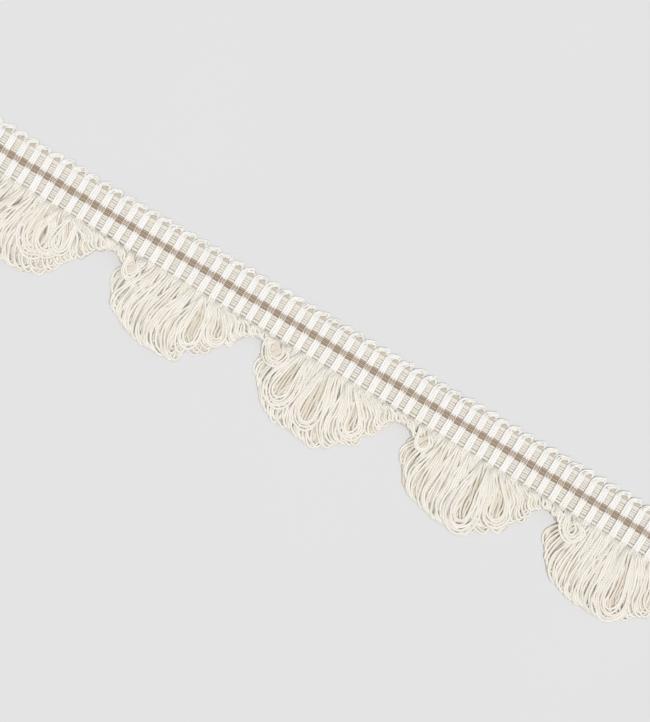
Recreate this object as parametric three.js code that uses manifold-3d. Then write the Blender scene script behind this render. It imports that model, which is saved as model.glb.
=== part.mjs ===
// A cut length of scalloped loop-fringe braid, lying flat with its face up.
import * as THREE from 'three';
import * as BufferGeometryUtils from 'three/addons/utils/BufferGeometryUtils.js';
import Module from 'manifold-3d';

// Sizes are in millimetres. X runs along the braid, Y across it towards the small
// picot loops, and Z is up from the flat back. The origin lies on the back, under
// the centre line of the woven stripe, halfway along.

const RIB_PITCH = 4.3;
const RIBS_PER_SCALLOP = 12;
const SCALLOPS = 5;
const RIBS = RIBS_PER_SCALLOP * SCALLOPS;
const LENGTH = RIBS * RIB_PITCH;
const PIECE_GAP = 0.3;

// The woven heading, measured from the middle of the stripe.
const PICOT_SIDE = 5.35;
const FRINGE_SIDE = -6.27;
const GROUND_THICK = 1.05;
const RIB_TOP = 1.7;
const RIB_FOOT_WIDTH = 2.5;
const RIB_CREST_WIDTH = 1.5;
const STRIPE_WIDTH = 2.14;
const STRIPE_TOP = 1.42;
const STRIPE_FOOT = 0.5;

// The narrow strips that hold the roots of the loops.
const PICOT_STRIP_WIDTH = 0.8;
const FRINGE_STRIP_WIDTH = 1.07;
const STRIP_THICK = 1.75;

// One strand of yarn, three-sided with a flat underside.
const STRAND_WIDTH = 0.72;
const STRAND_HEIGHT = 0.6;
const ROOT_PITCH = 1.0;
const LONG_LOOP = 9;
const LONG_BUNDLE = 3;
const SHORT_BUNDLE = 2;

// Heights of a strand's underside on the surface, over one strand and over two.
const FLOOR = 0;
const UPPER = 0.8;
const TOPMOST = 1.62;
const ROOT_HIGHEST = 0.8;

// No two roots enter a strip at one height: each strand of a bundle, the right leg of
// each loop and each rib in turn lifts them by a different step.
const STRAND_LIFT = 0.065;
const RIGHT_LIFT = 0.03;
const FRINGE_SCATTER = 0.03;
const PICOT_SCATTER = 0.2;
const GOLDEN_SHARE = 0.618;

// How far a strand runs straight out of its strip, and how strongly its leg keeps
// that direction at each end.
const STEM = 0.2;
const LEG_PULL = 0.35;

// Edges shorter than this are merged away, and shares of a path closer than this are one.
const SLIVER = 0.03;
const TINY_SHARE = 1e-6;

// The loop bundles of one scallop. The yarn turns back at the rib in the valley,
// rib 0, so they start at rib 1. Each hangs from its rib and from the band on the
// rib's left. lean is how far its belly swings along X, reach how far its tip hangs
// below the heading, belly its half width, hook how far the tip turns back along X.
// left and right are the heights of its legs: each leg that lies low passes under
// the high leg of the next bundle, and rib 2's short loops lie over them all.
const BUNDLES = [
  { rib: 1, lean: -0.3, reach: 4.3, belly: 2.4, hook: 0.0, left: FLOOR, right: FLOOR },
  { rib: 2, lean: 1.1, reach: 7.7, belly: 2.8, hook: 0.0, left: TOPMOST, right: TOPMOST },
  { rib: 3, lean: -5.2, reach: 12.6, belly: 2.7, hook: 0.6, left: FLOOR, right: FLOOR },
  { rib: 4, lean: -6.2, reach: 17.8, belly: 3.0, hook: 1.0, left: UPPER, right: FLOOR },
  { rib: 5, lean: -4.8, reach: 22.2, belly: 3.8, hook: 0.9, left: UPPER, right: FLOOR },
  { rib: 6, lean: -2.4, reach: 23.3, belly: 4.2, hook: 1.6, left: UPPER, right: FLOOR },
  { rib: 7, lean: 0.6, reach: 23.7, belly: 4.1, hook: 1.0, left: UPPER, right: UPPER },
  { rib: 8, lean: 2.9, reach: 17.6, belly: 3.6, hook: 0.5, left: FLOOR, right: UPPER },
  { rib: 9, lean: 3.2, reach: 13.9, belly: 2.9, hook: 0.3, left: FLOOR, right: UPPER },
  { rib: 10, lean: 3.6, reach: 8.4, belly: 2.5, hook: 0.2, left: FLOOR, right: UPPER },
  { rib: 11, lean: 1.6, reach: 4.6, belly: 2.3, hook: 0.0, left: FLOOR, right: FLOOR },
];

// Where a bundle of one scallop hangs unlike the usual one.
const DIFFERENCES = [
  { scallop: 1, rib: 7, lean: 0.9, reach: 19.5, belly: 3.9 },
  { scallop: 1, rib: 8, lean: 0.6, reach: 16.3, belly: 3.4 },
  { scallop: 1, rib: 9, lean: -0.1, reach: 13.2, belly: 3.0 },
  { scallop: 2, rib: 4, lean: -5.4, reach: 15.6, belly: 2.9 },
  { scallop: 2, rib: 7, lean: -0.6, reach: 23.0, belly: 3.9 },
  { scallop: 2, rib: 8, lean: 1.4, reach: 18.7, belly: 3.2 },
  { scallop: 3, rib: 4, lean: -2.6, reach: 18.7, belly: 3.0 },
  { scallop: 3, rib: 5, lean: -2.6, reach: 22.0, belly: 3.6 },
  { scallop: 3, rib: 6, lean: -0.6, reach: 20.6, belly: 3.4, hook: 1.0 },
  { scallop: 3, rib: 10, lean: 4.6, reach: 8.9, belly: 2.5 },
  { scallop: 5, rib: 2, lean: 1.8, reach: 8.6, belly: 3.4 },
  { scallop: 5, rib: 5, lean: -4.2, reach: 21.6, belly: 3.5 },
];

// The small loops of the picot edge, each one lock of yarn.
const PICOT = { lean: 2.1, reach: 2.5, belly: 1.05, hook: 0.3, width: 1.0, height: 0.8 };
const PICOT_BAR_ROOT = 0.6;
const PICOT_BAND_ROOT = 0.05;

const UP = new THREE.Vector3(0, 0, 1);
const { Manifold, Mesh } = await loadSolids();

async function loadSolids() {
  const library = await Module();
  library.setup();
  return library;
}

function toSolid(geometry) {
  geometry.deleteAttribute('normal');
  geometry.deleteAttribute('uv');
  const merged = BufferGeometryUtils.mergeVertices(geometry);
  return new Manifold(new Mesh({
    numProp: 3,
    vertProperties: merged.attributes.position.array,
    triVerts: merged.index.array,
  }));
}

// Joining leaves slivers where strands meet their strip; those are merged away.
function toGeometry(solid) {
  const mesh = solid.simplify(SLIVER).getMesh();
  const geometry = new THREE.BufferGeometry();
  geometry.setAttribute('position', new THREE.BufferAttribute(mesh.vertProperties, 3));
  geometry.setIndex(new THREE.BufferAttribute(mesh.triVerts, 1));
  geometry.computeVertexNormals();
  return geometry;
}

function blockSolid(xLow, xHigh, yLow, yHigh, zLow, zHigh) {
  const box = new THREE.BoxGeometry(xHigh - xLow, yHigh - yLow, zHigh - zLow);
  box.translate((xLow + xHigh) / 2, (yLow + yHigh) / 2, (zLow + zHigh) / 2);
  return toSolid(box);
}

function ribCentre(rib) {
  return (rib - (RIBS - 1) / 2) * RIB_PITCH;
}

// The heading: its ribbed end face run across the tape, and the stripe's floats.
function buildHeading() {
  const low = FRINGE_SIDE + FRINGE_STRIP_WIDTH + PIECE_GAP;
  const high = PICOT_SIDE - PICOT_STRIP_WIDTH - PIECE_GAP;
  const face = new THREE.Shape();
  face.moveTo(-LENGTH / 2, 0);
  face.lineTo(LENGTH / 2, 0);
  face.lineTo(LENGTH / 2, GROUND_THICK);
  for (let rib = RIBS - 1; rib >= 0; rib -= 1) {
    const x = ribCentre(rib);
    face.lineTo(x + RIB_FOOT_WIDTH / 2, GROUND_THICK);
    face.lineTo(x + RIB_CREST_WIDTH / 2, RIB_TOP);
    face.lineTo(x - RIB_CREST_WIDTH / 2, RIB_TOP);
    face.lineTo(x - RIB_FOOT_WIDTH / 2, GROUND_THICK);
  }
  face.lineTo(-LENGTH / 2, GROUND_THICK);
  face.closePath();
  const ribbed = new THREE.ExtrudeGeometry(face, { depth: high - low, bevelEnabled: false });
  ribbed.rotateX(Math.PI / 2);
  ribbed.translate(0, high, 0);
  const stripe = blockSolid(-LENGTH / 2, LENGTH / 2, -STRIPE_WIDTH / 2, STRIPE_WIDTH / 2,
    STRIPE_FOOT, STRIPE_TOP);
  return toSolid(ribbed).add(stripe);
}

// A loop of yarn seen from above: straight out of its strip, down one leg, round
// the belly, up the other leg and straight in again. Its points are the middle of
// the strand's underside, and its stages take the given shares of its steps.
class LoopPath extends THREE.Curve {
  constructor(loop) {
    super();
    this.loop = loop;
    this.steps = 2 + 2 * loop.legSteps + loop.bellySteps;
    this.stemShare = 1 / this.steps;
    this.legShare = (1 + loop.legSteps) / this.steps;
  }

  // one leg, from where it comes out of the strip to the side of the belly
  legPoint(root, side, share) {
    const { outY, bellyY } = this.loop;
    const pull = (bellyY - outY) * LEG_PULL;
    const leg = new THREE.CubicBezierCurve(
      new THREE.Vector2(root, outY),
      new THREE.Vector2(root, outY + pull),
      new THREE.Vector2(side, bellyY - pull),
      new THREE.Vector2(side, bellyY));
    return leg.getPoint(share);
  }

  planPoint(t) {
    const { leftRoot, rightRoot, rootY, outY, bellyX, bellyY, belly, tipY, hook } = this.loop;
    const { stemShare, legShare } = this;
    const fromEnd = Math.min(t, 1 - t);
    const root = t < 0.5 ? leftRoot : rightRoot;
    const side = t < 0.5 ? bellyX - belly : bellyX + belly;
    if (fromEnd < stemShare) {
      return new THREE.Vector2(root, THREE.MathUtils.lerp(rootY, outY, fromEnd / stemShare));
    }
    if (fromEnd < legShare) {
      return this.legPoint(root, side, (fromEnd - stemShare) / (legShare - stemShare));
    }
    const turn = Math.PI * (t - legShare) / (1 - 2 * legShare);
    const depth = Math.sin(turn);
    return new THREE.Vector2(bellyX - belly * Math.cos(turn) + hook * depth,
      bellyY + (tipY - bellyY) * depth);
  }

  getPoint(t) {
    const { x, y } = this.planPoint(t);
    return new THREE.Vector3(x, y, heightAt(this.loop.heights(this), t));
  }

  getTangent(t) {
    const onStem = Math.min(t, 1 - t) < this.stemShare + TINY_SHARE;
    return onStem ? this.stemDirection(t) : super.getTangent(t);
  }

  stemDirection(t) {
    const outward = Math.sign(this.loop.outY - this.loop.rootY);
    return new THREE.Vector3(0, t < 0.5 ? outward : -outward, 0);
  }
}

// The height at t, straight between the rows of a short table of [t, height].
function heightAt(heights, t) {
  for (let row = 1; row < heights.length; row += 1) {
    const [start, low] = heights[row - 1];
    const [end, high] = heights[row];
    if (t <= end) {
      return THREE.MathUtils.lerp(low, high, (t - start) / (end - start));
    }
  }
  return heights[heights.length - 1][1];
}

// A three-sided prism bent along a path, with its flat side down throughout.
function strandSolid(path, width, height) {
  const prism = new THREE.CylinderGeometry(1, 1, 1, 3, path.steps);
  const points = prism.attributes.position;
  for (let index = 0; index < points.count; index += 1) {
    const t = THREE.MathUtils.clamp(points.getY(index) + 0.5, 0, 1);
    const across = points.getX(index) * width / Math.sqrt(3);
    const rise = (points.getZ(index) + 0.5) * height / 1.5;
    const along = path.getTangent(t).setZ(0).normalize();
    const sideways = new THREE.Vector3().crossVectors(along, UP);
    const place = path.getPoint(t).addScaledVector(sideways, across);
    points.setXYZ(index, place.x, place.y, place.z + rise);
  }
  return toSolid(prism);
}

// A rib's own share of a range, spread so that neighbours differ widely.
function scatter(rib) {
  return (rib * GOLDEN_SHARE) % 1;
}

// Heights along a loop from its left root to its right one. A loop that changes
// height does it on the side of its tip where nothing lies under it or over it.
function loopHeights(bundle, strand, { stemShare, legShare }) {
  const settle = THREE.MathUtils.lerp(stemShare, legShare, 0.5);
  const turnStart = bundle.left < bundle.right ? 0.5 : legShare;
  const turnEnd = bundle.left < bundle.right ? 1 - legShare : 0.5;
  const lift = STRAND_LIFT * (1 + strand) + FRINGE_SCATTER * scatter(bundle.rib);
  const leftRoot = Math.min(bundle.left, ROOT_HIGHEST) + lift;
  const rightRoot = Math.min(bundle.right, ROOT_HIGHEST) + lift + RIGHT_LIFT;
  return [[0, leftRoot], [stemShare, leftRoot], [settle, bundle.left], [turnStart, bundle.left],
    [turnEnd, bundle.right], [1 - settle, bundle.right], [1 - stemShare, rightRoot],
    [1, rightRoot]];
}

function bundleSolids(scallop, usual) {
  const change = DIFFERENCES.find((row) => row.scallop === scallop && row.rib === usual.rib);
  const bundle = { ...usual, ...change };
  const barX = ribCentre((scallop - 1) * RIBS_PER_SCALLOP + bundle.rib);
  const bandX = barX - RIB_PITCH / 2;
  const isLong = bundle.reach > LONG_LOOP;
  const count = isLong ? LONG_BUNDLE : SHORT_BUNDLE;
  const nestPitch = THREE.MathUtils.clamp((bundle.belly - 0.6) / 2, ROOT_PITCH, 1.2);
  const solids = [];
  for (let strand = 0; strand < count; strand += 1) {
    const inset = strand * nestPitch;
    const belly = bundle.belly - inset;
    const tipY = FRINGE_SIDE - bundle.reach + inset;
    const outward = ROOT_PITCH * ((count - 1) / 2 - strand);
    const path = new LoopPath({
      leftRoot: bandX - outward,
      rightRoot: barX + outward,
      rootY: FRINGE_SIDE + FRINGE_STRIP_WIDTH / 2,
      outY: FRINGE_SIDE - STEM,
      bellyX: (barX + bandX) / 2 + bundle.lean,
      bellyY: tipY + belly,
      belly,
      tipY,
      hook: bundle.hook,
      legSteps: isLong ? 3 : 2,
      bellySteps: 4,
      heights: (shares) => loopHeights(bundle, strand, shares),
    });
    solids.push(strandSolid(path, STRAND_WIDTH, STRAND_HEIGHT));
  }
  return solids;
}

function buildFringe(scallop) {
  const first = (scallop - 1 - SCALLOPS / 2) * RIBS_PER_SCALLOP * RIB_PITCH;
  const last = first + RIBS_PER_SCALLOP * RIB_PITCH;
  const strip = blockSolid(
    scallop === 1 ? first : first + PIECE_GAP / 2,
    scallop === SCALLOPS ? last : last - PIECE_GAP / 2,
    FRINGE_SIDE, FRINGE_SIDE + FRINGE_STRIP_WIDTH, 0, STRIP_THICK);
  return Manifold.union([strip, ...BUNDLES.flatMap((usual) => bundleSolids(scallop, usual))]);
}

// A picot loop at each rib but the last, where the braid is cut.
function buildPicotEdge() {
  const strip = blockSolid(-LENGTH / 2, LENGTH / 2, PICOT_SIDE - PICOT_STRIP_WIDTH, PICOT_SIDE,
    0, STRIP_THICK);
  const solids = [strip];
  for (let rib = 0; rib < RIBS - 1; rib += 1) {
    const barX = ribCentre(rib);
    const tipY = PICOT_SIDE + PICOT.reach;
    const barRoot = PICOT_BAR_ROOT + PICOT_SCATTER * scatter(rib);
    const bandRoot = PICOT_BAND_ROOT + PICOT_SCATTER * scatter(rib);
    const path = new LoopPath({
      leftRoot: barX,
      rightRoot: barX + RIB_PITCH / 2,
      rootY: PICOT_SIDE - PICOT_STRIP_WIDTH / 2,
      outY: PICOT_SIDE + STEM,
      bellyX: barX + PICOT.lean,
      bellyY: tipY - PICOT.belly,
      belly: PICOT.belly,
      tipY,
      hook: PICOT.hook,
      legSteps: 1,
      bellySteps: 4,
      heights: ({ stemShare, legShare }) => [[0, barRoot], [stemShare, barRoot],
        [legShare, FLOOR], [1 - legShare, FLOOR], [1 - stemShare, bandRoot], [1, bandRoot]],
    });
    solids.push(strandSolid(path, PICOT.width, PICOT.height));
  }
  return Manifold.union(solids);
}

const creamYarn = new THREE.MeshStandardMaterial({ color: 0xf3ecdd, roughness: 0.6, metalness: 0 });
const creamWeave = new THREE.MeshStandardMaterial({ color: 0xeee6d6, roughness: 0.65, metalness: 0 });

const braid = new THREE.Group();

function addNode(name, solid, material) {
  const mesh = new THREE.Mesh(toGeometry(solid), material);
  mesh.name = name;
  braid.add(mesh);
}

addNode('heading', buildHeading(), creamWeave.clone());
addNode('picot_edge', buildPicotEdge(), creamYarn.clone());
for (let scallop = 1; scallop <= SCALLOPS; scallop += 1) {
  addNode(`loop_fringe_${scallop}`, buildFringe(scallop), creamYarn.clone());
}

export default braid;
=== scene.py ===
"""Scalloped loop-fringe braid trim, built yarn by yarn, lying on a pale table."""
import math

import bpy
import numpy as np
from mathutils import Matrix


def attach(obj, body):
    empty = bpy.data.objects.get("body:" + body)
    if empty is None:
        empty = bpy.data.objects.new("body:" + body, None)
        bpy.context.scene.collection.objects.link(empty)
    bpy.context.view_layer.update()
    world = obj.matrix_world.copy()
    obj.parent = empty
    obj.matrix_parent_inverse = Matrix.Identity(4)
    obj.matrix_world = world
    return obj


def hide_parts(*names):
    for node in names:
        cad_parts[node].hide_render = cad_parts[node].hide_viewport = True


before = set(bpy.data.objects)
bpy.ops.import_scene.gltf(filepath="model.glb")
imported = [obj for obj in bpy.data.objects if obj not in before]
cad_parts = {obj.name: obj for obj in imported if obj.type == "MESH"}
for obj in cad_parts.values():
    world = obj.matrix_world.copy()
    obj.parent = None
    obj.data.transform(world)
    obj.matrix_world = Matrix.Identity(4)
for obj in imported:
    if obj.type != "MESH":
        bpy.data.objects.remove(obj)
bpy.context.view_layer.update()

# Sizes are in millimetres and are turned into metres when a mesh is made. X runs
# along the braid, Y across it towards the picots, Z up from its back.
MM = 0.001
RIB_PITCH = 4.3
RIBS_PER_SCALLOP = 12
SCALLOPS = 5
RIBS = RIBS_PER_SCALLOP * SCALLOPS
LENGTH = RIBS * RIB_PITCH
PICOT_SIDE = 5.35
FRINGE_SIDE = -6.27

# Yarn cross-sections: half width and half height.
BAR_YARN = (0.44, 0.36)
BAND_YARN = (0.39, 0.35)
PICOT_YARN = (0.2, 0.19)
FRINGE_YARN = (0.43, 0.34)
LINING_YARN = (0.72, 0.22)
WARP_YARN = (0.4, 0.13)
EDGE_YARN = (0.44, 0.22)
STRIPE_YARN = (0.255, 0.14)

# How many sides a tube of yarn has, and how small a warp's cut end is against the warp.
BAR_TUBE_SIDES = 8
TUBE_SIDES = 6
CUT_END = 0.3

# Heights of yarn centres above the table.
BAR_HEIGHT = 1.27
BAND_HEIGHT = 0.38
WARP_OVER_BAND = 0.9
WARP_UNDER_BAR = 0.4

# The bars, each of three picks. Where the stripe crosses a bar its middle pick dips and
# the outer two part and thin. At the heading's sides all three bend down.
BAR_YARNS = 3
BAR_YARN_PITCH = 0.74
BAR_CROWN = 0.07
BAR_UNEVENNESS = 0.015
BAR_ENDS = (PICOT_SIDE + 0.15, FRINGE_SIDE - 0.1)
BAR_POINTS = 31
BAR_WANDER, BAR_WANDER_RATE = 0.035, 0.9
BAR_SWAY, BAR_LEAN = 0.05, 0.09
MIDDLE_PICK_DIP, OUTER_PICK_DIP = 0.62, 0.05
PICOT_BEND = (PICOT_SIDE - 0.9, PICOT_SIDE + 0.3)
FRINGE_BEND = (-FRINGE_SIDE - 0.9, -FRINGE_SIDE + 0.4)
BEND_DROP = 0.3

# The picks that go back under the bands.
BAND_ENDS = (PICOT_SIDE + 0.1, FRINGE_SIDE - 0.1)
BAND_POINTS = 16
BAND_WANDER, BAND_WANDER_RATE = 0.03, 0.8

# The stripe: its width, the tone of each warp, and what it does to the bars.
STRIPE_HALF = 1.07
STRIPE_TONES = (0.0, 0.4, 0.03, 0.36)
STRIPE_EDGE = (STRIPE_HALF - 0.45, STRIPE_HALF + 0.3)
STRIPE_SPREAD = 0.18
STRIPE_NARROWING = 0.8

# A stripe warp rises over a bar's middle pick, where it is painted paler as painted light on its raised
# part, and dips beside it.
STRIPE_STEP = 0.24
STRIPE_STICK_OUT = (0.2, 0.9)
STRIPE_RISE, STRIPE_RISE_REACH = 0.2, 0.7
STRIPE_DIP, STRIPE_DIP_PLACE, STRIPE_DIP_REACH = 0.24, 0.92, 0.13
STRIPE_PAINTED_LIGHT, STRIPE_PAINTED_LIGHT_REACH = 0.75, 0.95
STRIPE_SWAY, STRIPE_SWAY_RATE, STRIPE_SWAY_SHIFT = 0.02, 0.7, 9

# The ground warps: where they run across the braid, and how they sway, as pairs of how
# far and how fast. Their ends stick out of the cut ends a little.
UPPER_WARPS = (1.5, 2.26, 3.02, 3.78, 4.54)
LOWER_WARPS = (-1.46, -2.22, -2.98, -3.74, -4.5)
SELVEDGE_WARP = 5.12
EDGE_WARP = -5.55
EDGE_WARP_LIFT = 0.1
WARP_STEP = 0.36
WARP_STICK_OUT = (0.2, 1.1)
WARP_SQUARENESS = 1.6
WARP_SWAYS = ((0.03, 0.31), (0.02, 1.7))

# The thin ground that the warps and the bars are bound into. It waves less than they
# do, lies a little lower, and falls to its upper edge under the picots. Its brown is
# painted shade: it stands for the shaded depth between the warps and in the holes
# under the picots.
CLOTH_TOP = 6.9
CLOTH_BOTTOM = FRINGE_SIDE + 0.25
CLOTH_THICKNESS = 0.16
CLOTH_STEPS_PER_RIB = 8
CLOTH_POINTS_ACROSS = 17
CLOTH_WAVE = 0.2
CLOTH_SINK = 0.06
CLOTH_FALL_START = PICOT_SIDE - 0.4
CLOTH_EDGE_HEIGHT = 0.2

# The picot loops: each leaves the top of a bar and comes back under the band.
PICOT_YARNS = 6
PICOT_APEX = (2.75, 2.6)
PICOT_RETURN = 3.35
PICOT_NESTING = 0.2
PICOT_UNEVENNESS = 0.13
PICOT_SPACING = 0.34

# The loop bundles of one scallop, as they hang from ribs 0 to 11. left is where the
# belly of a bundle's first yarn hangs, from its bar, reach how far its tip hangs below
# the heading, sweep how far a yarn's foot swings to the right, yarns how many there are,
# and layer says which bundles lie over which. A bundle's yarns fan out to the next
# bundle, unless spread says how far; first and last are the reaches of its two sides.
BUNDLES = [
    {"rib": 0, "left": -2.5, "reach": 3.1, "sweep": 1.3, "yarns": 5, "layer": 0.5,
     "spread": 3.9, "first": 3.5, "last": 2.9},
    {"rib": 1, "left": -3.3, "reach": 4.3, "sweep": 1.6, "yarns": 6, "layer": 1,
     "spread": 4.3, "first": 3.3, "last": 5.6},
    {"rib": 2, "left": -2.6, "reach": 7.7, "sweep": 2.0, "yarns": 7, "layer": 2,
     "spread": 3.6, "last": 8.4},
    {"rib": 3, "left": -8.2, "reach": 13.2, "sweep": 2.4, "yarns": 7, "layer": 3},
    {"rib": 4, "left": -8.0, "reach": 20.0, "sweep": 3.6, "yarns": 7, "layer": 4},
    {"rib": 5, "left": -6.8, "reach": 22.6, "sweep": 4.4, "yarns": 7, "layer": 5},
    {"rib": 6, "left": -6.2, "reach": 23.4, "sweep": 5.0, "yarns": 7, "layer": 6},
    {"rib": 7, "left": -6.4, "reach": 23.4, "sweep": 5.2, "yarns": 7, "layer": 7},
    {"rib": 8, "left": -3.0, "reach": 19.5, "sweep": 4.2, "yarns": 7, "layer": 8},
    {"rib": 9, "left": -1.2, "reach": 14.0, "sweep": 2.8, "yarns": 7, "layer": 9},
    {"rib": 10, "left": 0.4, "reach": 9.0, "sweep": 2.0, "yarns": 7, "layer": 10},
    {"rib": 11, "left": -1.7, "reach": 4.6, "sweep": 1.6, "yarns": 6, "layer": 11,
     "spread": 3.4, "first": 5.8, "last": 3.5},
]

# Where a bundle of one scallop hangs unlike the usual one.
DIFFERENCES = [
    {"scallop": 1, "rib": 4, "left": -8.6, "sweep": 6.0},
    {"scallop": 1, "rib": 5, "left": -8.6, "sweep": 6.4},
    {"scallop": 1, "rib": 6, "left": -8.8, "sweep": 6.6, "reach": 22.6},
    {"scallop": 1, "rib": 7, "left": -6.8, "sweep": 5.6},
    {"scallop": 1, "rib": 8, "left": -5.5, "reach": 21.4},
    {"scallop": 1, "rib": 9, "left": -3.2, "reach": 17.2},
    {"scallop": 1, "rib": 10, "reach": 7.8},
    {"scallop": 2, "rib": 4, "left": -8.8, "reach": 19.8},
    {"scallop": 2, "rib": 5, "left": -7.8},
    {"scallop": 2, "rib": 6, "left": -7.2},
    {"scallop": 2, "rib": 7, "left": -7.7, "sweep": 6.0},
    {"scallop": 2, "rib": 8, "left": -7.6, "reach": 22.8, "sweep": 4.6},
    {"scallop": 2, "rib": 9, "left": -1.9, "reach": 13.4},
    {"scallop": 3, "rib": 3, "left": -8.6},
    {"scallop": 3, "rib": 4, "left": -7.6, "reach": 20.6},
    {"scallop": 3, "rib": 5, "left": -6.0, "reach": 23.2},
    {"scallop": 3, "rib": 6, "left": -5.0},
    {"scallop": 3, "rib": 7, "left": -3.4, "reach": 24.0},
    {"scallop": 3, "rib": 8, "left": -2.4},
    {"scallop": 3, "rib": 9, "left": -1.0, "reach": 16.4},
    {"scallop": 3, "rib": 10, "left": 0.9},
    {"scallop": 4, "rib": 3, "left": -8.5},
    {"scallop": 4, "rib": 4, "left": -6.8, "reach": 21.4, "sweep": 4.2},
    {"scallop": 4, "rib": 5, "left": -4.6, "reach": 23.0},
    {"scallop": 4, "rib": 6, "left": -3.6, "reach": 23.6},
    {"scallop": 4, "rib": 7, "left": -3.0},
    {"scallop": 4, "rib": 8, "left": -2.0, "reach": 18.8},
    {"scallop": 4, "rib": 9, "left": -0.6, "reach": 16.2},
    {"scallop": 4, "rib": 10, "reach": 10.4},
    {"scallop": 5, "rib": 3, "left": -8.8, "reach": 13.4},
    {"scallop": 5, "rib": 4, "left": -7.4, "reach": 21.8, "sweep": 4.0},
    {"scallop": 5, "rib": 5, "left": -4.8, "reach": 23.4},
    {"scallop": 5, "rib": 6, "left": -5.4, "reach": 23.6},
    {"scallop": 5, "rib": 7, "left": -3.6, "reach": 23.8},
    {"scallop": 5, "rib": 8, "left": -1.4},
    {"scallop": 5, "rib": 9, "left": -0.6, "reach": 16.4},
]

# Open loops that lie on top of the fanned bundles, one inside another, with both legs
# in sight. left and right are how far out their outer legs hang, from their bar.
NESTS = [
    {"scallop": 1, "rib": 7, "left": -6.7, "right": 6.5, "reach": 18.4, "yarns": 5},
    {"scallop": 1, "rib": 8, "left": -6.2, "right": 4.9, "reach": 16.4, "yarns": 4},
    {"scallop": 1, "rib": 9, "left": -5.0, "right": 2.4, "reach": 13.4, "yarns": 3},
    {"scallop": 2, "rib": 2, "left": -3.4, "right": 3.7, "reach": 8.8, "yarns": 3},
    {"scallop": 2, "rib": 8, "left": -4.2, "right": 3.9, "reach": 17.7, "yarns": 3},
    {"scallop": 2, "rib": 9, "left": -1.9, "right": 6.2, "reach": 13.0, "yarns": 4},
    {"scallop": 3, "rib": 2, "left": -5.7, "right": 4.1, "reach": 8.8, "yarns": 4},
    {"scallop": 3, "rib": 4, "left": -8.1, "right": 3.2, "reach": 19.6, "yarns": 5},
    {"scallop": 3, "rib": 6, "left": -5.7, "right": 4.9, "reach": 20.8, "yarns": 4},
    {"scallop": 3, "rib": 8, "left": -0.5, "right": 9.2, "reach": 16.6, "yarns": 4},
    {"scallop": 4, "rib": 2, "left": -3.0, "right": 3.4, "reach": 7.9, "yarns": 2},
    {"scallop": 4, "rib": 7, "left": -6.0, "right": 6.1, "reach": 24.0, "yarns": 6},
    {"scallop": 4, "rib": 8, "left": -0.3, "right": 9.4, "reach": 16.8, "yarns": 4},
    {"scallop": 5, "rib": 2, "left": -3.2, "right": 5.9, "reach": 8.8, "yarns": 4},
    {"scallop": 5, "rib": 7, "left": -3.7, "right": 7.5, "reach": 23.6, "yarns": 5},
]

# What differs between the three kinds of loop. over and under are how far, in half
# heights of the yarn, a loop's first and second halves stay above what they lie on.
# Linings are flat loops that close the pile from below; their darker tone is painted shade.
KINDS = {
    "lining": {"section": LINING_YARN, "over": -0.85, "under": -0.85, "tones": (0, 0.25)},
    "fan": {"section": FRINGE_YARN, "over": 0.35, "under": -0.5, "tones": (0.55, 1)},
    "nest": {"section": FRINGE_YARN, "over": 0.0, "under": 0.0, "tones": (0.55, 1)},
}

# A lining has one yarn more for each step of its fan's reach, from the least number to
# the most, and reaches less far.
LEAST_LINING, MOST_LINING = 2, 6
LINING_STEP = 4.0
LINING_REACH, LINING_SHORTFALL = 0.92, 0.4

# Which layer a nest lies in: just over the next bar's fan, or over everything where it
# hangs at a scallop's left side.
NEST_ABOVE = 1.5
LEFT_NEST_RIB = 2
TOP_LAYER = 20

# The course of a loop, seen from above: a short straight run at its roots, two legs
# that bend outwards, and a round turn, which starts no nearer to the heading than
# NEAREST_TURN. Waves are pairs of length and size, and are weaker across the braid.
ROOT_INSIDE = 0.15
ROOT_RUN, ROOT_RUN_SHARE = 1.4, 0.15
TOP_PULL, BELLY_PULL = 0.1, 0.33
NEAREST_TURN = 1.6
LEG_POINTS = 26
TURN_POINTS = 14
LOOP_SPACING = 0.5
LOOP_WAVES = ((13.0, 0.24), (5.5, 0.05))
WAVE_ACROSS = 0.6
TIP_INSIDE = 0.7 * FRINGE_YARN[0]

# The loops of a fan. A loop's foot hooks to the right, the hook being at most a third
# of the reach high, and its second leg stands back from the tip. The yarns of a long
# fan crowd towards its right side.
HOOK_RISE = 1.6
HOOKS_IN_REACH = 3
BACK, LEAST_BACK = 0.9, 0.45
CROWDING = 1.3
CROWDED_REACH = 13
FAN_UNEVENNESS = {"left": 0.2, "tip": 0.4, "sweep": 0.15, "back": 0.3, "root": 0.08}

# The loops of a nest: how far apart they lie, how many times that at their tips, where
# across its width a loop's tip is, and how high its two turns are against its width.
NEST_PITCH = 0.76
NEST_TIP_PITCH = 1.1
NEST_TIP = 0.56
NEST_TURNS = (0.72, 0.58)
NARROWEST_NEST = 0.9
NEST_UNEVENNESS = 0.16

# The shade inside an open loop: an oval in its gap, whose edge fades between two sizes.
LEAST_OPENING = 0.2
OPENING_PLACE, OPENING_HALF_DEPTH = 0.62, 0.42
OPENING_MARGIN = 0.5
OPENING_FADE = (0.75, 1.15)
OPENING_SHADE = 0.8

# The pile of loops, as a grid of small cells on the table. A yarn rests on the middle of
# its width, and is held near its roots' heights over the first millimetres. Its root at
# a bar lies lower where the bundle's next yarn covers it.
CELL = 0.15
GRID_PAST_ENDS, GRID_BELOW, GRID_ABOVE = 6, 28, 1
GRID_LOW = (-LENGTH / 2 - GRID_PAST_ENDS, FRINGE_SIDE - GRID_BELOW)
GRID_HIGH = (LENGTH / 2 + GRID_PAST_ENDS, FRINGE_SIDE + GRID_ABOVE)
RESTING_SHARE = 0.7
FLOOR_GAP = 0.02
SMOOTHING = (1, 2, 3, 4, 3, 2, 1)
HOLD_START = 0.1
BAND_HOLD, BAR_HOLD = 1.6, 3.0
BAND_ROOT_HEIGHT = 0.62
COVERED_ROOT_DROP, TOP_ROOT_DROP = 0.6, 0.22

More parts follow.
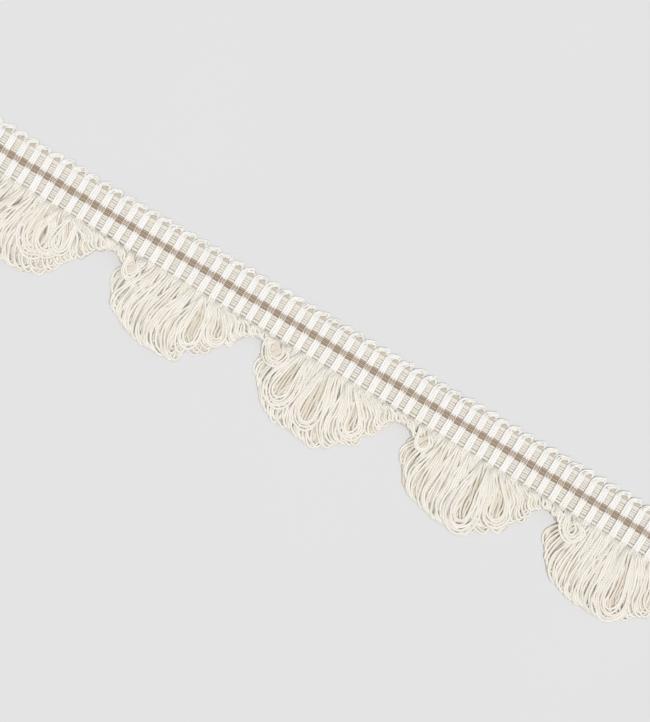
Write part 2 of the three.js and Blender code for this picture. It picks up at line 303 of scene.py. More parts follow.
# Above its settled height the pile is pressed to a share of what it was, and nowhere
# rises further than the pressed height.
SETTLED_HEIGHT, SETTLING, PRESSED_HEIGHT = 1.2, 0.42, 3.0

# How finely a path is cut up. Where less than LEAST_LEVEL of its direction is level, its
# sideways direction comes from the points around.
FEWEST_STEPS = 4
CURVE_STEPS = 8
LEAST_LEVEL = 0.15

# Where in its twist a yarn may start, and a wave in its course. Then how many random
# numbers are drawn for each yarn, of which some are spare.
ANY_START = (0, 5)
ANY_PHASE = (0, 6)
PICOT_DRAWS, FAN_DRAWS, NEST_DRAWS = 6, 8, 5

# Linear colours, from the brightest strand to the painted shade between plies.
SATIN = {"pale": (0.87, 0.86, 0.84), "deep": (0.84, 0.825, 0.8), "groove": (0.76, 0.73, 0.68)}
# The cream's deep colour is warm painted shade, which the linings and yarn seen through an open loop
# take most of.
CREAM = {"pale": (0.9, 0.88, 0.83), "deep": (0.72, 0.645, 0.535), "groove": (0.72, 0.66, 0.565)}
MATTE = {"pale": (0.79, 0.75, 0.69), "deep": (0.74, 0.7, 0.635), "groove": (0.66, 0.61, 0.53)}
TAUPE = {"pale": (0.75, 0.635, 0.525), "deep": (0.4, 0.3, 0.21), "groove": (0.3, 0.22, 0.15)}
WHITE = {"pale": (0.91, 0.895, 0.86), "deep": (0.87, 0.85, 0.81), "groove": (0.8, 0.77, 0.71)}
# The ground cloth's browns are painted shade.
CLOTH_SHADE_COLOURS = ((0.54, 0.475, 0.385), (0.65, 0.59, 0.49))
TABLE_COLOURS = ((0.65, 0.65, 0.653), (0.665, 0.665, 0.668))

# The surface of yarn and cloth: how fine the fibres are along a yarn and around it, how
# much they add to its relief, and the pitch of the cloth's own threads.
FIBRES_ALONG, FIBRES_AROUND = 1.4, 14.0
FIBRE_RELIEF = 0.5
GROOVE_ROUNDING = 0.5
GLOW_DEPTH = 0.25
CLOTH_WARP_PITCH, CLOTH_WEFT_PITCH = 0.36, 0.4
CLOTH_RELIEF = 0.04

# The picture: how far it is turned against the braid in degrees, the point it looks
# straight down at, the size of the longer side of what it shows, and the camera's lens.
# How far the camera sees is in metres.
PICTURE_TURN = 30.8
VIEW_CENTRE = (-1.42, -5.05)
VIEW_HEIGHT = 221.0
LENS, SENSOR = 120, 36
FARTHEST_SEEN = 20

# The table's half size in metres, and the light, whose angles are in degrees.
FLOOR_HALF = 1.5
ROOM_LIGHT = 0.42
KEY_LIGHT = 2.4
KEY_WIDTH = 14
KEY_TILT = (5, 4)

rng = np.random.default_rng(31)

# How far each bar sits off its place, and how far it leans.
SWAY = rng.normal(0, (BAR_SWAY, BAR_LEAN), (RIBS, 2))


def rib_centre(rib):
    return (rib - (RIBS - 1) / 2) * RIB_PITCH


def smooth_step(value, low, high):
    share = np.clip((value - low) / (high - low), 0, 1)
    return share * share * (3 - 2 * share)


def distances(path):
    """How far along a path each of its points is."""
    steps = np.linalg.norm(np.diff(path, axis=0), axis=1)
    return np.concatenate([[0], np.cumsum(steps)])


def resample(points, spacing):
    """The same path with its points equally far apart, about spacing."""
    along = distances(points)
    count = max(int(round(along[-1] / spacing)), FEWEST_STEPS)
    wanted = np.linspace(0, along[-1], count + 1)
    return np.column_stack([np.interp(wanted, along, points[:, axis]) for axis in range(3)])


def spline(controls, spacing):
    """A smooth path through control points, by Catmull and Rom's rule."""
    before = 2 * controls[0] - controls[1]
    after = 2 * controls[-1] - controls[-2]
    knots = np.vstack([before, controls, after])
    share = np.linspace(0, 1, CURVE_STEPS + 1)[:-1][:, None]
    pieces = []
    for index in range(1, len(knots) - 2):
        a, b, c, d = knots[index - 1:index + 3]
        pieces.append(0.5 * (2 * b + (c - a) * share + (2 * a - 5 * b + 4 * c - d) * share ** 2
                             + (3 * b - a - 3 * c + d) * share ** 3))
    pieces.append(controls[-1:])
    return resample(np.vstack(pieces), spacing)


def bezier(knots, count):
    """Points of the cubic curve that runs from the first of four knots to the last."""
    share = np.linspace(0, 1, count)
    rest = 1 - share
    weights = [rest ** 3, 3 * share * rest ** 2, 3 * share ** 2 * rest, share ** 3]
    return sum(weight[:, None] * np.array(knot) for weight, knot in zip(weights, knots))


# Tubes of yarn.

def cross_directions(path):
    """Two directions across a path at each of its points: a level one and an upward one."""
    tangent = np.gradient(path, axis=0)
    tangent /= np.linalg.norm(tangent, axis=1)[:, None]
    sideways = np.cross(tangent, (0, 0, 1))
    flat = np.linalg.norm(sideways, axis=1)
    good = np.flatnonzero(flat > LEAST_LEVEL)
    for axis in range(3):
        kept = sideways[good, axis] / flat[good]
        sideways[:, axis] = np.interp(np.arange(len(path)), good, kept)
    sideways -= tangent * np.sum(sideways * tangent, axis=1)[:, None]
    sideways /= np.linalg.norm(sideways, axis=1)[:, None]
    return sideways, np.cross(sideways, tangent)


def tube_faces(along, sides):
    """The faces of a tube and its two end caps, and where their corners lie on the yarn:
    how far along it, and what share of the way around."""
    rings = len(along)
    ring, side = np.meshgrid(np.arange(rings - 1), np.arange(sides), indexing="ij")
    ring, side = ring.ravel(), side.ravel()
    after = (side + 1) % sides
    wall = np.column_stack([ring * sides + side, (ring + 1) * sides + side,
                            (ring + 1) * sides + after, ring * sides + after])
    near, far = along[ring], along[ring + 1]
    low, high = side / sides, (side + 1) / sides
    uvs = [np.stack([near, low, far, low, far, high, near, high], axis=1).reshape(-1, 4, 2)]
    step = np.arange(sides // 2 - 1)
    cap = np.column_stack([step, step + 1, sides - 2 - step, sides - 1 - step])
    for end, corners in ((along[0], cap), (along[-1], cap[:, ::-1])):
        uvs.append(np.stack([np.full(cap.shape, end), corners / sides], axis=2))
    faces = np.vstack([wall, cap, cap[:, ::-1] + (rings - 1) * sides])
    return faces, np.concatenate(uvs)


class YarnMesh:
    """Gathers tubes of yarn with an even number of sides, and makes one mesh of them."""

    def __init__(self, name, sides=TUBE_SIDES):
        self.name = name
        self.sides = sides
        self.points, self.faces, self.uvs, self.tones = [], [], [], []
        self.count = 0

    def add(self, path, section, tone, size=None):
        """Sweeps an oval section along a path. tone is one number or one for each point,
        and size is the section's size at each point."""
        sideways, upward = cross_directions(path)
        angle = 2 * np.pi * np.arange(self.sides) / self.sides
        half_width, half_height = section
        size = np.ones(len(path)) if size is None else size
        across = half_width * np.cos(angle)[None, :, None] * sideways[:, None, :]
        rise = half_height * np.sin(angle)[None, :, None] * upward[:, None, :]
        rings = path[:, None, :] + (across + rise) * size[:, None, None]
        faces, uvs = tube_faces(distances(path) + rng.uniform(*ANY_START), self.sides)
        self.points.append(rings.reshape(-1, 3))
        self.faces.append(faces + self.count)
        self.uvs.append(uvs)
        self.tones.append(np.repeat(np.broadcast_to(tone, len(path)), self.sides))
        self.count += len(path) * self.sides

    def build(self, material):
        points = np.concatenate(self.points) * MM
        mesh = bpy.data.meshes.new(self.name)
        mesh.from_pydata(points.tolist(), [], np.concatenate(self.faces).tolist())
        layer = mesh.uv_layers.new(name="yarn")
        layer.data.foreach_set("uv", np.concatenate(self.uvs).astype(np.float32).ravel())
        tone = mesh.attributes.new("tone", "FLOAT", "POINT")
        tone.data.foreach_set("value", np.concatenate(self.tones).astype(np.float32))
        return placed(self.name, mesh, material)


def placed(name, mesh, material):
    """A smooth mesh of one material, as an object of the scene."""
    mesh.shade_smooth()
    mesh.materials.append(material)
    piece = bpy.data.objects.new(name, mesh)
    bpy.context.scene.collection.objects.link(piece)
    return piece


def cut_ends(count):
    """The sizes along a yarn of so many points whose two cut ends are narrower."""
    size = np.ones(count)
    size[0] = size[-1] = CUT_END
    return size


# The heading and the picots.

def bar_path(rib, pick):
    """One pick of a bar, from under the picot edge over the face to the fringe edge, and
    its size at each point."""
    offset = pick - (BAR_YARNS - 1) / 2
    across = np.linspace(*BAR_ENDS, BAR_POINTS)
    shift, lean = SWAY[rib]
    in_stripe = 1 - smooth_step(np.abs(across), *STRIPE_EDGE)
    middle = offset == 0
    spread = 0 if middle else STRIPE_SPREAD * np.sign(offset)
    wander = BAR_WANDER * np.sin(across * BAR_WANDER_RATE + rng.uniform(*ANY_PHASE))
    x = rib_centre(rib) + offset * BAR_YARN_PITCH + spread * in_stripe + wander
    x += shift + lean * across / FRINGE_SIDE
    height = BAR_HEIGHT + (BAR_CROWN if middle else 0) + rng.normal(0, BAR_UNEVENNESS)
    bends = smooth_step(across, *PICOT_BEND) + smooth_step(-across, *FRINGE_BEND)
    dip = MIDDLE_PICK_DIP if middle else OUTER_PICK_DIP
    z = height - dip * in_stripe - BEND_DROP * bends
    size = 1 - (0 if middle else STRIPE_NARROWING) * in_stripe
    return np.column_stack([x, across, z]), size


def band_path(rib, pick):
    """One pick of the weft's way back, under the warps of the band left of a bar."""
    offset = pick - (BAR_YARNS - 1) / 2
    across = np.linspace(*BAND_ENDS, BAND_POINTS)
    wander = BAND_WANDER * np.sin(across * BAND_WANDER_RATE + rng.uniform(*ANY_PHASE))
    x = rib_centre(rib) - RIB_PITCH / 2 + offset * BAR_YARN_PITCH + wander
    return np.column_stack([x, across, np.full(len(x), BAND_HEIGHT)])


def warp_path(y, over):
    """A warp that rises over each band to the height over, and dips under each bar."""
    left_end, right_end = rng.uniform(*WARP_STICK_OUT, 2)
    x = np.arange(-LENGTH / 2 - left_end, LENGTH / 2 + right_end, WARP_STEP)
    phase = np.cos(2 * np.pi * (x - rib_centre(0)) / RIB_PITCH)
    wave = np.tanh(WARP_SQUARENESS * phase) / math.tanh(WARP_SQUARENESS)
    z = (over + WARP_UNDER_BAR) / 2 - wave * (over - WARP_UNDER_BAR) / 2
    sway = sum(size * np.sin(x * rate + rng.uniform(*ANY_PHASE)) for size, rate in WARP_SWAYS)
    return np.column_stack([x, y + sway, z])


def stripe_path(y, paleness):
    """A stripe warp: over the band, under a bar's outer picks, over its middle one. Its
    tone at each point comes with it, raised by painted light where it stands over the
    middle pick."""
    left_end, right_end = rng.uniform(*STRIPE_STICK_OUT, 2)
    x = np.arange(-LENGTH / 2 - left_end, LENGTH / 2 + right_end, STRIPE_STEP)
    from_bar = np.abs((x - rib_centre(0) + RIB_PITCH / 2) % RIB_PITCH - RIB_PITCH / 2)
    rise = STRIPE_RISE * np.exp(-(from_bar / STRIPE_RISE_REACH) ** 4)
    dip = STRIPE_DIP * np.exp(-((from_bar - STRIPE_DIP_PLACE) / STRIPE_DIP_REACH) ** 2)
    # Painted light where the warp stands over the middle pick.
    tone = paleness + STRIPE_PAINTED_LIGHT * np.exp(-(from_bar / STRIPE_PAINTED_LIGHT_REACH) ** 6)
    sway = STRIPE_SWAY * np.sin(x * STRIPE_SWAY_RATE + y * STRIPE_SWAY_SHIFT)
    return np.column_stack([x, y + sway, WARP_OVER_BAND + rise - dip]), tone


def picot_path(rib, pick):
    """A picot yarn, from the top of its bar up over the edge and back to the band. Its
    control points are given one by one; nest is how far it lies inside the outermost yarn."""
    offset = pick - (PICOT_YARNS - 1) / 2
    x = rib_centre(rib)
    lean, rise = PICOT_APEX
    nest = PICOT_NESTING * pick
    jitter = rng.normal(0, PICOT_UNEVENNESS, PICOT_DRAWS)
    controls = np.array([
        (x + offset * 0.38, PICOT_SIDE - 0.9, BAR_HEIGHT - 0.02),
        (x + offset * 0.36, PICOT_SIDE - 0.2, BAR_HEIGHT - 0.04),
        (x + 0.15 + offset * 0.3 + jitter[0], PICOT_SIDE + 0.8, 1.2 - 0.04 * pick),
        (x + 0.75 + offset * 0.26 + jitter[0], PICOT_SIDE + 1.75 - nest * 0.6, 1.1 - 0.06 * pick),
        (x + lean - 0.75 + jitter[1], PICOT_SIDE + rise - 0.1 - nest + jitter[4], 0.95 - 0.08 * pick),
        (x + lean + jitter[1], PICOT_SIDE + rise - nest + jitter[2], 0.7),
        (x + lean + 0.6 + jitter[5] - nest * 0.3, PICOT_SIDE + rise - 0.8 - nest * 0.7, 0.55),
        (x + PICOT_RETURN - 0.05 + offset * 0.12 + jitter[3], PICOT_SIDE + 0.7, 0.4),
        (x + PICOT_RETURN + offset * 0.16, PICOT_SIDE - 0.1, 0.36),
    ])
    return spline(controls, PICOT_SPACING)


def ground_cloth(material):
    """The thin woven ground: a waved sheet with a top, a bottom and a rim."""
    x = np.linspace(-LENGTH / 2, LENGTH / 2, RIBS * CLOTH_STEPS_PER_RIB + 1)
    y = np.linspace(CLOTH_BOTTOM, CLOTH_TOP, CLOTH_POINTS_ACROSS)
    phase = np.cos(2 * np.pi * (x - rib_centre(0)) / RIB_PITCH)
    wave = (WARP_OVER_BAND + WARP_UNDER_BAR) / 2 - CLOTH_WAVE * phase - CLOTH_SINK
    fall = smooth_step(y, CLOTH_FALL_START, CLOTH_TOP)
    points = [(px, py, pz + side + (CLOTH_EDGE_HEIGHT - pz) * drop)
              for side in (CLOTH_THICKNESS / 2, -CLOTH_THICKNESS / 2)
              for px, pz in zip(x, wave) for py, drop in zip(y, fall)]
    rows, columns = len(x), len(y)
    lower = rows * columns
    faces = []
    for row in range(rows - 1):
        for column in range(columns - 1):
            corner = row * columns + column
            quad = (corner, corner + columns, corner + columns + 1, corner + 1)
            faces.append(quad)
            faces.append(tuple(index + lower for index in reversed(quad)))
    rim = [row * columns for row in range(rows)]
    rim += [(rows - 1) * columns + column for column in range(1, columns)]
    rim += [row * columns + columns - 1 for row in range(rows - 2, -1, -1)]
    rim += [column for column in range(columns - 2, 0, -1)]
    for here, there in zip(rim, rim[1:] + rim[:1]):
        faces.append((there, here, here + lower, there + lower))
    mesh = bpy.data.meshes.new("ground_cloth")
    mesh.from_pydata((np.array(points) * MM).tolist(), [], faces)
    return placed("ground_cloth", mesh, material)


def weave_bars():
    """All bars, the picks that go back between them, and the picots at their tops."""
    bars = YarnMesh("weft_bars", BAR_TUBE_SIDES)
    bands = YarnMesh("band_wefts")
    picots = YarnMesh("picot_yarns")
    for rib in range(RIBS):
        for pick in range(BAR_YARNS):
            path, size = bar_path(rib, pick)
            bars.add(path, BAR_YARN, rng.uniform(), size)
            bands.add(band_path(rib, pick), BAND_YARN, rng.uniform())
        if rib == RIBS - 1:
            continue
        for pick in range(PICOT_YARNS):
            picots.add(picot_path(rib, pick), PICOT_YARN, rng.uniform())
    return bars, bands, picots


def weave_warps():
    """The warps of the matte bands, and the thicker one along the fringe's roots."""
    warps = YarnMesh("ground_warps")
    for y in (*UPPER_WARPS, *LOWER_WARPS, SELVEDGE_WARP):
        path = warp_path(y, WARP_OVER_BAND)
        warps.add(path, WARP_YARN, rng.uniform(), cut_ends(len(path)))
    path = warp_path(EDGE_WARP, WARP_OVER_BAND + EDGE_WARP_LIFT)
    warps.add(path, EDGE_YARN, rng.uniform(), cut_ends(len(path)))
    return warps


def weave_stripe():
    """The stripe's warps, side by side across its width."""
    stripe = YarnMesh("stripe_warps")
    rows = len(STRIPE_TONES)
    for row, paleness in enumerate(STRIPE_TONES):
        path, tone = stripe_path((row - (rows - 1) / 2) * 2 * STRIPE_HALF / rows, paleness)
        stripe.add(path, STRIPE_YARN, tone, cut_ends(len(path)))
    return stripe


# The loop fringe. Each bundle's yarns lie on what was laid before them.

class Pile:
    """The height of the yarn that lies on each small cell of the table."""

    def __init__(self):
        size = [int((high - low) / CELL) + 1 for low, high in zip(GRID_LOW, GRID_HIGH)]
        self.heights = np.zeros(size)

    def cells(self, path, reach):
        """The cells within reach of each point of a path, and how far off they are."""
        column = ((path[:, 0] - GRID_LOW[0]) / CELL).round().astype(int)
        row = ((path[:, 1] - GRID_LOW[1]) / CELL).round().astype(int)
        span = int(math.ceil(reach / CELL))
        shift = np.array([(a, b) for a in range(-span, span + 1) for b in range(-span, span + 1)
                          if math.hypot(a, b) * CELL <= reach])
        columns = np.clip(column[:, None] + shift[:, 0], 0, self.heights.shape[0] - 1)
        rows = np.clip(row[:, None] + shift[:, 1], 0, self.heights.shape[1] - 1)
        return columns, rows, np.hypot(shift[:, 0], shift[:, 1]) * CELL

    def lay(self, path, kind, bar_root_height):
        """Lowers a path onto the pile, and adds the yarn to it."""
        half_width, half_height = kind["section"]
        columns, rows, _ = self.cells(path, half_width * RESTING_SHARE)
        first_half = np.arange(len(path)) < len(path) / 2
        clearance = np.where(first_half, kind["over"], kind["under"])
        rest = self.heights[columns, rows].max(axis=1) + half_height * clearance
        rest = np.maximum(rest, half_height + FLOOR_GAP)
        wide = np.array([rest[max(i - 1, 0):i + 2].max() for i in range(len(rest))])
        kernel = np.array(SMOOTHING) / sum(SMOOTHING)
        z = np.convolve(np.pad(wide, len(kernel) // 2, mode="edge"), kernel, mode="valid")
        z = np.maximum(z, rest)
        along = distances(path[:, :2])
        for distance, height, hold in ((along, BAND_ROOT_HEIGHT, BAND_HOLD),
                                       (along[-1] - along, bar_root_height, BAR_HOLD)):
            near = 1 - smooth_step(distance, HOLD_START, hold)
            z = z * (1 - near) + height * near
        path[:, 2] = z
        columns, rows, away = self.cells(path, half_width)
        top = z[:, None] + half_height * np.sqrt(np.clip(1 - (away / half_width) ** 2, 0, 1))
        np.maximum.at(self.heights, (columns, rows), top)


def settled(z):
    """Heights in the pile once its own weight has pressed its upper layers together."""
    upper = np.maximum(z - SETTLED_HEIGHT, 0)
    return np.minimum(z, SETTLED_HEIGHT) + PRESSED_HEIGHT * np.tanh(upper * SETTLING / PRESSED_HEIGHT)


def loop_path(roots, sides, tip, turns, reach):
    """A loop seen from above: down from its left root, round its tip and up to its right
    root. sides are where its two legs hang, turns how far above the tip they start to
    turn, and reach how far its bundle hangs."""
    root_y = FRINGE_SIDE + ROOT_INSIDE
    run_y = root_y - min(ROOT_RUN, ROOT_RUN_SHARE * reach)
    legs = []
    for root_x, side_x, rise in zip(roots, sides, turns):
        side_y = min(tip[1] + rise, FRINGE_SIDE - NEAREST_TURN)
        fall = side_y - run_y
        knots = [(root_x, run_y), (root_x, run_y + fall * TOP_PULL),
                 (side_x, side_y - fall * BELLY_PULL), (side_x, side_y)]
        legs.append(np.vstack([[(root_x, root_y)], bezier(knots, LEG_POINTS)]))
    turn = np.linspace(0, np.pi / 2, TURN_POINTS)[1:]
    left_turn = np.column_stack([sides[0] + (tip[0] - sides[0]) * (1 - np.cos(turn)),
                                 legs[0][-1, 1] + (tip[1] - legs[0][-1, 1]) * np.sin(turn)])
    right_turn = np.column_stack([tip[0] + (sides[1] - tip[0]) * np.sin(turn),
                                  tip[1] + (legs[1][-1, 1] - tip[1]) * (1 - np.cos(turn))])
    plan = np.vstack([legs[0], left_turn, right_turn, legs[1][-2::-1]])
    path = resample(np.column_stack([plan, np.zeros(len(plan))]), LOOP_SPACING)
    along = np.linspace(0, 1, len(path))
    calm = np.sin(np.pi * along)
    length = len(path) * LOOP_SPACING
    for wave, size in LOOP_WAVES:
        phase = rng.uniform(0, 2 * np.pi, 2)
        path[:, 0] += size * calm * np.sin(2 * np.pi * along * length / wave + phase[0])
        path[:, 1] += size * calm * np.sin(2 * np.pi * along * length / wave + phase[1]) * WAVE_ACROSS
    return path


def fan_path(bundle, following, bar_x, yarn):
    """One yarn of a bundle that lies like fanned cards, from the bundle's left side towards
    the following one's. It hooks to the right and goes back up under the ones after it."""
    count = bundle["yarns"]
    share = yarn / count
    jitter = rng.normal(0, 1, FAN_DRAWS)
    here = bar_x + bundle["left"] + FRINGE_YARN[0]
    there = bar_x + RIB_PITCH + following["left"] + FRINGE_YARN[0]
    spread = bundle.get("spread", there - here)
    crowded = bundle["kind"] == "fan" and bundle["reach"] > CROWDED_REACH
    crowding = CROWDING if crowded else 0
    left_x = here + spread * share + crowding * (0.5 - (1 - share) ** 2)
    left_x += FAN_UNEVENNESS["left"] * jitter[0]
    first = bundle.get("first", bundle["reach"])
    reach = first + (bundle.get("last", following["reach"]) - first) * share
    tip_y = FRINGE_SIDE - reach + FAN_UNEVENNESS["tip"] * abs(jitter[1]) + TIP_INSIDE
    sweep = bundle["sweep"] * (1 + FAN_UNEVENNESS["sweep"] * jitter[2])
    back = max(BACK + FAN_UNEVENNESS["back"] * jitter[3], LEAST_BACK)
    pick = yarn * BAR_YARNS // count
    shift = (pick - (BAR_YARNS - 1) / 2) * BAR_YARN_PITCH + FAN_UNEVENNESS["root"] * jitter[4]
    roots = (bar_x - RIB_PITCH / 2 + shift, bar_x + shift)
    sides = (left_x, left_x + sweep + back)
    turns = (min(sweep * HOOK_RISE, reach / HOOKS_IN_REACH), back * HOOK_RISE)
    return loop_path(roots, sides, (left_x + sweep, tip_y), turns, reach)


def nest_path(nest, bar_x, yarn):
    """One yarn of a bundle whose loops hang inside one another, its two legs in sight."""
    jitter = rng.normal(0, NEST_UNEVENNESS, NEST_DRAWS)
    inset = NEST_PITCH * yarn
    left_x = bar_x + nest["left"] + FRINGE_YARN[0] + inset + jitter[0]
    right_x = bar_x + nest["right"] - FRINGE_YARN[0] - inset + jitter[1]
    right_x = max(right_x, left_x + NARROWEST_NEST)
    width = right_x - left_x
    tip_y = FRINGE_SIDE - nest["reach"] + inset * NEST_TIP_PITCH + abs(jitter[2]) + TIP_INSIDE
    shift = (1 - yarn / max(nest["yarns"] - 1, 1)) * BAR_YARN_PITCH
    roots = (bar_x - RIB_PITCH / 2 - shift, bar_x + shift)
    turns = [width * rise for rise in NEST_TURNS]
    tip = (left_x + width * NEST_TIP, tip_y)
    return loop_path(roots, (left_x, right_x), tip, turns, nest["reach"])


def openings_of(nests, first_rib):
    """The middle and the half sizes of the gap inside each nest of open loops."""
    found = []
    for nest in nests:
        bar_x = rib_centre(first_rib + nest["rib"])
        inset = NEST_PITCH * nest["yarns"]
        half_width = (nest["right"] - nest["left"]) / 2 - inset
        depth = nest["reach"] - inset * NEST_TIP_PITCH
        if half_width > LEAST_OPENING:
            middle = (bar_x + (nest["left"] + nest["right"]) / 2, FRINGE_SIDE - OPENING_PLACE * depth)
            found.append((middle, (half_width + OPENING_MARGIN, depth * OPENING_HALF_DEPTH)))
    return found


def painted_shade_factor(path, openings):
    """One along a path, less where it is seen through an open loop: painted shade of the loop over it.
    """
    bright = np.ones(len(path))
    for middle, half in openings:
        away = np.hypot((path[:, 0] - middle[0]) / half[0], (path[:, 1] - middle[1]) / half[1])
        bright -= OPENING_SHADE * (1 - smooth_step(away, *OPENING_FADE))
    return np.maximum(bright, 0)


def fans_of(scallop):
    """The fanned bundles of one scallop."""
    fans = []
    for usual in BUNDLES:
        fan = dict(usual, kind="fan")
        for change in DIFFERENCES:
            if change["scallop"] == scallop and change["rib"] == usual["rib"]:
                fan.update(change)
        fans.append(fan)
    return fans


def lining_under(fan):
    """The lining that lies under a fan."""
    yarns = min(MOST_LINING, int(fan["reach"] / LINING_STEP) + LEAST_LINING)
    reach = fan["reach"] * LINING_REACH - LINING_SHORTFALL
    return dict(fan, kind="lining", yarns=yarns, reach=reach)


def nests_of(scallop):
    """The nests of open loops of one scallop."""
    nests = []
    for nest in NESTS:
        if nest["scallop"] == scallop:
            layer = TOP_LAYER if nest["rib"] == LEFT_NEST_RIB else nest["rib"] + NEST_ABOVE
            nests.append(dict(nest, kind="nest", layer=layer))
    return nests


def hang_loops(scallop, pile):
    """All loops of one scallop, laid on the pile from the undermost up."""
    fringe = YarnMesh(f"fringe_yarns_{scallop}")
    first_rib = (scallop - 1) * RIBS_PER_SCALLOP
    fans = fans_of(scallop)
    following = {fan["rib"]: after for fan, after in zip(fans, fans[1:])}
    nests = nests_of(scallop)
    openings = openings_of(nests, first_rib)
    linings = [lining_under(fan) for fan in fans]
    for bundle in linings + sorted(fans + nests, key=lambda bundle: bundle["layer"]):
        kind = KINDS[bundle["kind"]]
        bar_x = rib_centre(first_rib + bundle["rib"])
        count = bundle["yarns"]
        for yarn in range(count):
            if bundle["kind"] == "nest":
                path = nest_path(bundle, bar_x, yarn)
            else:
                path = fan_path(bundle, following.get(bundle["rib"], bundle), bar_x, yarn)
            covered = (yarn + 1) * BAR_YARNS // count == yarn * BAR_YARNS // count
            pile.lay(path, kind, BAR_HEIGHT - (COVERED_ROOT_DROP if covered else TOP_ROOT_DROP))
            path[:, 2] = settled(path[:, 2])
            tone = rng.uniform(*kind["tones"])
            # Yarn seen through an open loop is darkened with painted shade.
            if bundle["kind"] != "nest":
                tone = tone * painted_shade_factor(path, openings)
            fringe.add(path, kind["section"], tone)
    return fringe


# Materials.

def link_math(tree, operation, first, second=None):
    node = tree.nodes.new("ShaderNodeMath")
    node.operation = operation
    for socket, value in zip(node.inputs, (first, second)):
        if isinstance(value, bpy.types.NodeSocket):
            tree.links.new(value, socket)
        elif value is not None:
            socket.default_value = value
    return node.outputs[0]


def as_share(tree, wave):
    """Takes a wave that runs from minus one to one to the range from zero to one."""
    share = link_math(tree, "MULTIPLY_ADD", wave, 0.5)
    share.node.inputs[2].default_value = 0.5
    return share


def mix_colours(tree, share, first, second):
    node = tree.nodes.new("ShaderNodeMix")
    node.data_type = "RGBA"
    tree.links.new(share, node.inputs["Factor"])
    for socket, value in zip((node.inputs[6], node.inputs[7]), (first, second)):
        if isinstance(value, bpy.types.NodeSocket):
            tree.links.new(value, socket)
        else:
            socket.default_value = (*value, 1)
    return node.outputs[2]


def new_material(name):
    """A material with nodes, its node tree and its shader."""
    material = bpy.data.materials.new(name)
    material.use_nodes = True
    return material, material.node_tree, material.node_tree.nodes["Principled BSDF"]


def yarn_material(name, colours, lay, plies, roughness, sheen, relief, soft=0.0):
    """Twisted yarn: ply grooves that wind along it, darkened with painted shade, fibres, and a tone for
    each yarn.
    """
    material, tree, shader = new_material(name)
    shader.inputs["Roughness"].default_value = roughness
    shader.inputs["Sheen Weight"].default_value = sheen
    shader.inputs["Sheen Roughness"].default_value = 0.5
    shader.inputs["Specular IOR Level"].default_value = 0.35
    shader.inputs["Subsurface Weight"].default_value = soft
    shader.inputs["Subsurface Radius"].default_value = (1.0, 1.0, 1.0)
    shader.inputs["Subsurface Scale"].default_value = GLOW_DEPTH * MM
    uv = tree.nodes.new("ShaderNodeUVMap")
    uv.uv_map = "yarn"
    parts = tree.nodes.new("ShaderNodeSeparateXYZ")
    tree.links.new(uv.outputs[0], parts.inputs[0])
    along, around = parts.outputs[0], parts.outputs[1]
    turns = link_math(tree, "ADD", link_math(tree, "MULTIPLY", along, 1 / lay), around)
    wave = link_math(tree, "SINE", link_math(tree, "MULTIPLY", turns, 2 * math.pi * plies))
    shade = link_math(tree, "POWER", as_share(tree, wave), GROOVE_ROUNDING)
    stretched = tree.nodes.new("ShaderNodeCombineXYZ")
    tree.links.new(link_math(tree, "MULTIPLY", along, FIBRES_ALONG), stretched.inputs[0])
    tree.links.new(link_math(tree, "MULTIPLY", turns, FIBRES_AROUND), stretched.inputs[1])
    fibres = tree.nodes.new("ShaderNodeTexNoise")
    fibres.inputs["Scale"].default_value = 1.0
    fibres.inputs["Detail"].default_value = 3.0
    tree.links.new(stretched.outputs[0], fibres.inputs["Vector"])
    tone = tree.nodes.new("ShaderNodeAttribute")
    tone.attribute_name = "tone"
    body = mix_colours(tree, tone.outputs["Fac"], colours["deep"], colours["pale"])
    # The ply grooves take painted shade.
    tree.links.new(mix_colours(tree, shade, colours["groove"], body), shader.inputs["Base Color"])
    fuzz = link_math(tree, "MULTIPLY", fibres.outputs["Fac"], FIBRE_RELIEF)
    bump = tree.nodes.new("ShaderNodeBump")
    bump.inputs["Strength"].default_value = 1.0
    bump.inputs["Distance"].default_value = relief * MM
    tree.links.new(link_math(tree, "ADD", shade, fuzz), bump.inputs["Height"])
    tree.links.new(bump.outputs[0], shader.inputs["Normal"])
    return material


def cloth_material():
    """The ground between the yarns: a fine plain weave, in browns that are painted shade."""
    material, tree, shader = new_material("ground weave")
    shader.inputs["Roughness"].default_value = 0.85
    shader.inputs["Sheen Weight"].default_value = 0.2
    place = tree.nodes.new("ShaderNodeTexCoord")
    parts = tree.nodes.new("ShaderNodeSeparateXYZ")
    tree.links.new(place.outputs["Object"], parts.inputs[0])
    waves = []
    for output, pitch in ((parts.outputs[1], CLOTH_WARP_PITCH), (parts.outputs[0], CLOTH_WEFT_PITCH)):
        turned = link_math(tree, "MULTIPLY", output, 2 * math.pi / (pitch * MM))
        waves.append(link_math(tree, "SINE", turned))
    cross = link_math(tree, "MULTIPLY", *waves)
    tree.links.new(mix_colours(tree, as_share(tree, cross), *CLOTH_SHADE_COLOURS), shader.inputs["Base Color"])
    bump = tree.nodes.new("ShaderNodeBump")
    bump.inputs["Distance"].default_value = CLOTH_RELIEF * MM
    tree.links.new(cross, bump.inputs["Height"])
    tree.links.new(bump.outputs[0], shader.inputs["Normal"])
    return material


def table_material():
    """Pale matt paper with a barely visible tooth."""
    material, tree, shader = new_material("pale table")
    shader.inputs["Roughness"].default_value = 0.9
    shader.inputs["Specular IOR Level"].default_value = 0.1
    place = tree.nodes.new("ShaderNodeTexCoord")
    tooth = tree.nodes.new("ShaderNodeTexNoise")
    tooth.inputs["Scale"].default_value = 12.0
    tree.links.new(place.outputs["Object"], tooth.inputs["Vector"])
    colour = mix_colours(tree, tooth.outputs["Fac"], *TABLE_COLOURS)
    tree.links.new(colour, shader.inputs["Base Color"])
    return material


# The surroundings.

def lay_table():
    bpy.ops.mesh.primitive_plane_add(size=2 * FLOOR_HALF, location=(0, 0, 0))
    table = bpy.context.object
    table.name = "table"
    table.data.materials.append(table_material())
    return table


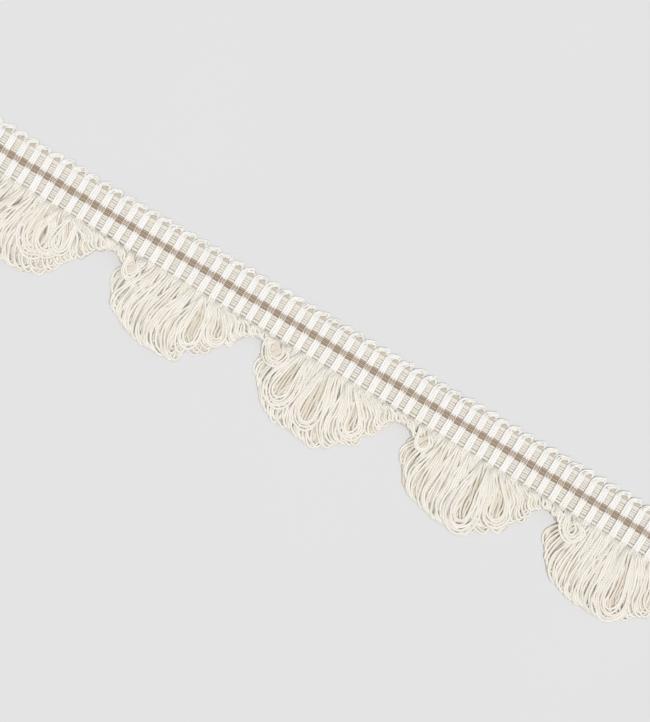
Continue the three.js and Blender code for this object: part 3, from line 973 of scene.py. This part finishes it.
def light_room():
    """White light from all round, and a wide soft sun that is a little off the vertical."""
    world = bpy.data.worlds.new("soft room")
    bpy.context.scene.world = world
    world.use_nodes = True
    world.node_tree.nodes["Background"].inputs["Color"].default_value = (1.0, 1.0, 1.0, 1)
    world.node_tree.nodes["Background"].inputs["Strength"].default_value = ROOM_LIGHT
    key_data = bpy.data.lights.new("key", "SUN")
    key_data.energy = KEY_LIGHT
    key_data.angle = math.radians(KEY_WIDTH)
    key = bpy.data.objects.new("key", key_data)
    key.rotation_euler = [math.radians(turn) for turn in (*KEY_TILT, PICTURE_TURN)]
    bpy.context.scene.collection.objects.link(key)


def aim_camera():
    camera_data = bpy.data.cameras.new("camera")
    camera_data.lens = LENS
    camera_data.sensor_width = SENSOR
    camera_data.clip_end = FARTHEST_SEEN
    camera = bpy.data.objects.new("camera", camera_data)
    camera.location = (VIEW_CENTRE[0] * MM, VIEW_CENTRE[1] * MM, VIEW_HEIGHT * MM * LENS / SENSOR)
    camera.rotation_euler = (0, 0, math.radians(PICTURE_TURN))
    bpy.context.scene.collection.objects.link(camera)
    bpy.context.scene.camera = camera
    bpy.context.scene.view_settings.view_transform = "Standard"


satin = yarn_material("satin bar yarn", SATIN, lay=3.4, plies=3, roughness=0.5, sheen=0.1, relief=0.03)
cream = yarn_material("cream loop yarn", CREAM, lay=1.75, plies=3, roughness=0.6, sheen=0.2,
                      relief=0.03, soft=0.35)
matte = yarn_material("matte warp", MATTE, lay=1.2, plies=2, roughness=0.8, sheen=0.2, relief=0.04)
taupe = yarn_material("taupe warp", TAUPE, lay=1.2, plies=2, roughness=0.7, sheen=0.15, relief=0.05)
soft_white = yarn_material("soft white picot yarn", WHITE, lay=1.3, plies=2, roughness=0.6,
                           sheen=0.2, relief=0.02, soft=0.35)

bars, bands, picots = weave_bars()
warps = weave_warps()
stripe = weave_stripe()
pile = Pile()
fringes = [hang_loops(scallop, pile) for scallop in range(1, SCALLOPS + 1)]

pieces = {
    "ground_cloth": (ground_cloth(cloth_material()), "heading", "cream_weave"),
    "weft_bars": (bars.build(satin), "heading", "cream_weave"),
    "band_wefts": (bands.build(cream), "heading", "cream_weave"),
    "ground_warps": (warps.build(matte), "heading", "cream_weave"),
    "stripe_warps": (stripe.build(taupe), "heading", "cream_weave"),
    "picot_yarns": (picots.build(soft_white), "picot_edge", "cream_yarn"),
}
for scallop, fringe in enumerate(fringes, 1):
    pieces[fringe.name] = (fringe.build(cream), f"loop_fringe_{scallop}", "cream_yarn")
for piece, node, slot in pieces.values():
    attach(piece, "root")
    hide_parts(node)

table = lay_table()
light_room()
aim_camera()
